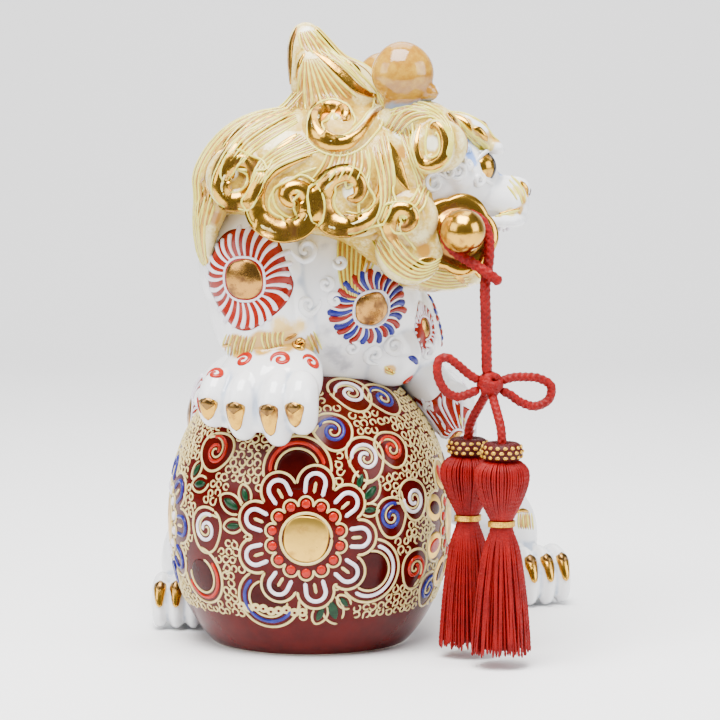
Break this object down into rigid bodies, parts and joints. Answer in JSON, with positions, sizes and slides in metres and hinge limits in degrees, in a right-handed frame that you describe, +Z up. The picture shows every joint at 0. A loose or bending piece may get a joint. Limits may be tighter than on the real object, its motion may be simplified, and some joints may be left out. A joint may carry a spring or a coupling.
{
  "type": "guardian lion figurine",
  "caption": "Porcelain guardian lion leaning over an enamelled ball, biting a gilded bar; a silk cord with bow loops, beads and tassels swings from its knob.",
  "frame": {"origin": "centre of the porcelain figure's bounding box on the floor, measured without the hanging ornament", "axes": "+Z up; the ball and the knob with the hanging ornament toward -Y, and the lion's face looks along +X"},
  "size_m": [0.1744, 0.1868, 0.2407],
  "materials": {
    "ball": "iron-red enamel over clear glaze, glossy",
    "torso": "clear glossy glaze over white porcelain",
    "head": "clear glossy glaze over white porcelain with enamels and gold",
    "lower_jaw": "yellow overglaze enamel, glossy",
    "mane": "yellow overglaze enamel, glossy, with raised lines",
    "crest": "yellow overglaze enamel with a gold edge",
    "ear_right": "orange-yellow overglaze enamel, glossy",
    "ear_left": "orange-yellow overglaze enamel, glossy",
    "foreleg_right": "clear glossy glaze with enamels and gold claws",
    "foreleg_left": "clear glossy glaze with enamels and gold claws",
    "hindleg_right": "clear glossy glaze with enamels and gold claws",
    "hindleg_left": "clear glossy glaze with enamels and gold claws",
    "tail": "yellow overglaze enamel, glossy",
    "mouth_bar": "fired gold lustre",
    "knob_right": "fired gold lustre",
    "knob_left": "fired gold lustre",
    "noose_cord": "braided red silk",
    "knot": "braided red silk, knotted",
    "bow_right": "braided red silk",
    "bow_left": "braided red silk",
    "leg_cord_front": "braided red silk",
    "leg_cord_rear": "braided red silk",
    "bead_front": "red cord with a net of gold thread",
    "bead_rear": "red cord with a net of gold thread",
    "tassel_front": "twisted red silk strands",
    "tassel_rear": "twisted red silk strands",
    "tie_front": "wound gold thread",
    "tie_rear": "wound gold thread"
  },
  "bodies": {
    "lion": {"ball": "ball", "torso": "torso", "head": "head", "lower_jaw": "lower_jaw", "mane": "mane", "crest": "crest", "ear_right": "ear_right", "ear_left": "ear_left", "foreleg_right": "foreleg_right", "foreleg_left": "foreleg_left", "hindleg_right": "hindleg_right", "hindleg_left": "hindleg_left", "tail": "tail", "mouth_bar": "mouth_bar", "knob_right": "knob_right", "knob_left": "knob_left"},
    "ornament": {"noose_cord": "noose_cord", "knot": "knot", "bow_right": "bow_right", "bow_left": "bow_left"},
    "front_tassel": {"leg_cord_front": "leg_cord_front", "bead_front": "bead_front", "tassel_front": "tassel_front", "tie_front": "tie_front"},
    "rear_tassel": {"leg_cord_rear": "leg_cord_rear", "bead_rear": "bead_rear", "tassel_rear": "tassel_rear", "tie_rear": "tie_rear"}
  },
  "joints": [
    {"name": "noose_swing", "type": "hinge", "parent": "lion", "child": "ornament", "pos_m": [0.0235, -0.07561, 0.16299], "axis": [0.069, -0.978, 0.197], "range_deg": [0, 25]},
    {"name": "front_tassel_swing", "type": "hinge", "parent": "ornament", "child": "front_tassel", "pos_m": [0.03407, -0.07892, 0.10575], "axis": [-0.8486, -0.5291, 0], "range_deg": [0, 20]},
    {"name": "rear_tassel_swing", "type": "hinge", "parent": "ornament", "child": "rear_tassel", "pos_m": [0.03407, -0.07892, 0.10575], "axis": [0.853, -0.5219, 0], "range_deg": [0, 20]}
  ]
}
